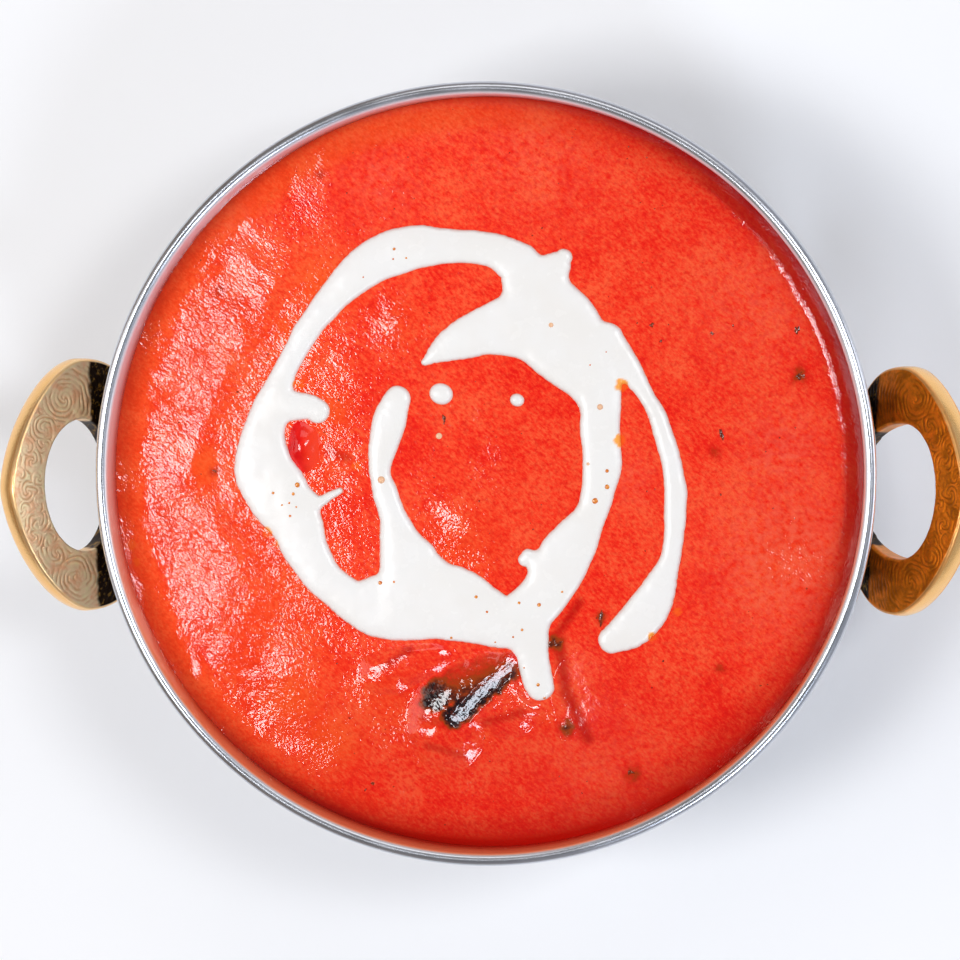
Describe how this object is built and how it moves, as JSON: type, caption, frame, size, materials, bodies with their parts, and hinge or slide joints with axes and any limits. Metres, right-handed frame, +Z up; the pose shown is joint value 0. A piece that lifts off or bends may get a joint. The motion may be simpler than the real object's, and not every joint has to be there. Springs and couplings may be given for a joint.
{
  "type": "bowl of chicken tikka masala",
  "caption": "Round steel serving bowl with tilted brass ear handles, filled with chicken in orange-red masala sauce under a poured swirl of cream.",
  "frame": {"origin": "centre of the flat base, on the surface the bowl stands on", "axes": "+Z up, +X towards the right handle, +Y away from the diner"},
  "size_m": [0.1973, 0.1566, 0.058],
  "materials": {
    "steel": "polished, with fine turning marks",
    "brass": "worn cast brass, engraved faces and polished edges",
    "sauce": "glossy, fine grained sauce",
    "cream": "smooth satin cream",
    "charred_chicken": "charred crust under a thin glaze",
    "sauced_chicken": "sauce coated, glossy",
    "tomato": "wet and glossy"
  },
  "bodies": {
    "root": {"bowl": "steel", "handle_right": "brass", "handle_left": "brass", "curry": "sauce", "cream_swirl": "cream", "cream_drop_large": "cream", "cream_drop_small": "cream", "chicken_charred": "charred_chicken", "chicken_left": "sauced_chicken", "chicken_right": "sauced_chicken", "tomato_piece": "tomato"}
  },
  "joints": []
}
